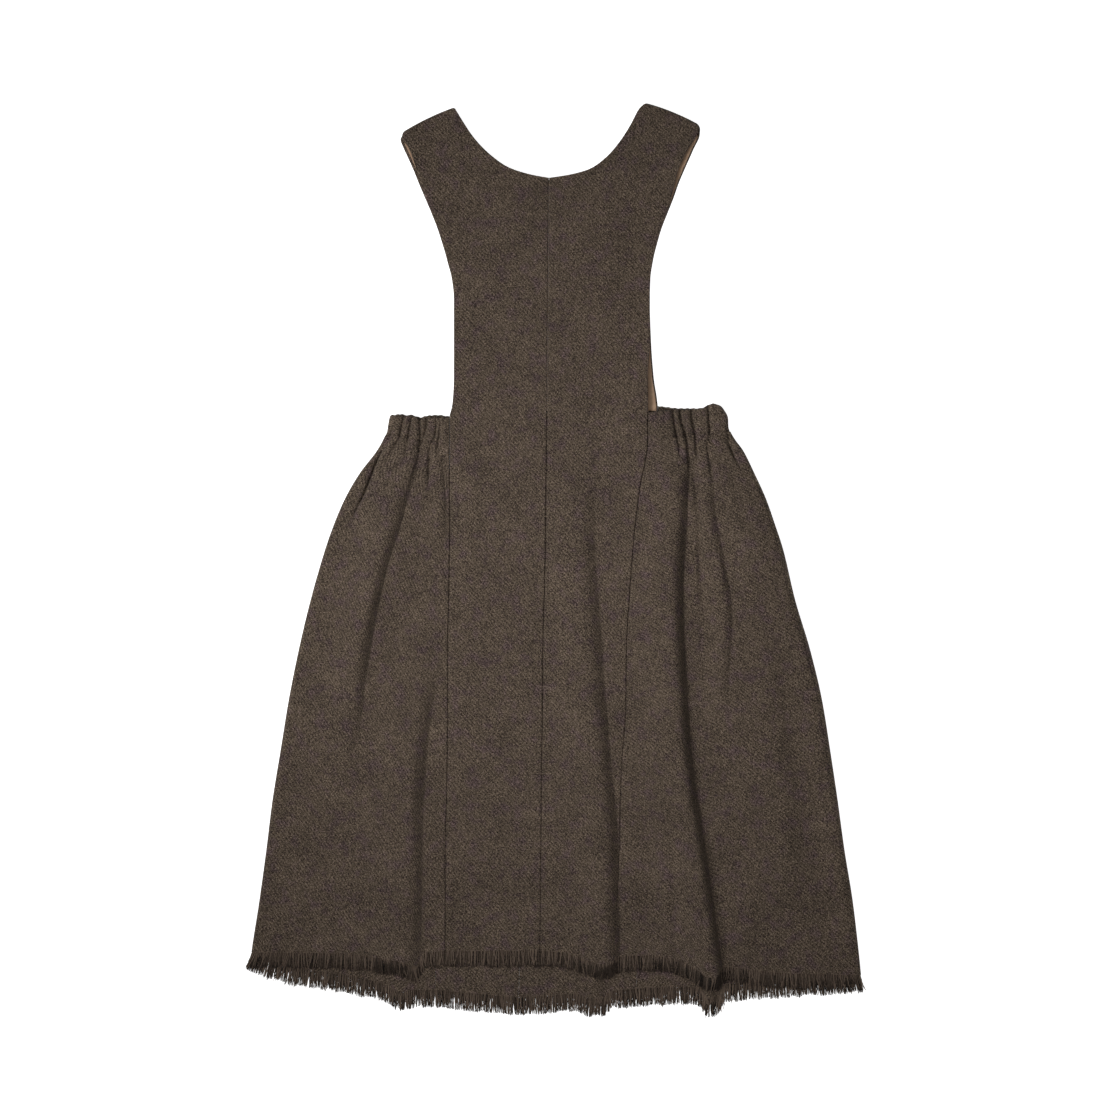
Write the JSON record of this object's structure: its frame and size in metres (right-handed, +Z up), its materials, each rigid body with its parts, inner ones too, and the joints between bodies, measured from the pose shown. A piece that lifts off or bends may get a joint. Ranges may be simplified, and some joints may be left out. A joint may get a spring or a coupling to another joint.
{
  "type": "pinafore dress",
  "caption": "Child's sleeveless wool pinafore laid flat, with bib, wide straps, gathered sides and a frayed hem.",
  "frame": {"origin": "middle of the laid-out dress, on the surface that it lies on", "axes": "+Y from the hem towards the shoulders, +X to the right as seen from above, +Z up out of the front of the dress"},
  "size_m": [0.492, 0.7316, 0.0184],
  "materials": {
    "wool_tweed": "matt, fulled wool tweed with a small diagonal rib",
    "cotton_lining": "smooth plain-woven lining",
    "frayed_yarn": "loose woollen yarn ends"
  },
  "bodies": {
    "root": {"front_left": "wool_tweed", "front_right": "wool_tweed", "back_left": "wool_tweed", "back_right": "wool_tweed", "side_left": "wool_tweed", "side_right": "wool_tweed", "casing_left": "wool_tweed", "casing_right": "wool_tweed", "lining_left": "cotton_lining", "lining_right": "cotton_lining", "fringe_front": "frayed_yarn", "fringe_back": "frayed_yarn"}
  },
  "joints": []
}
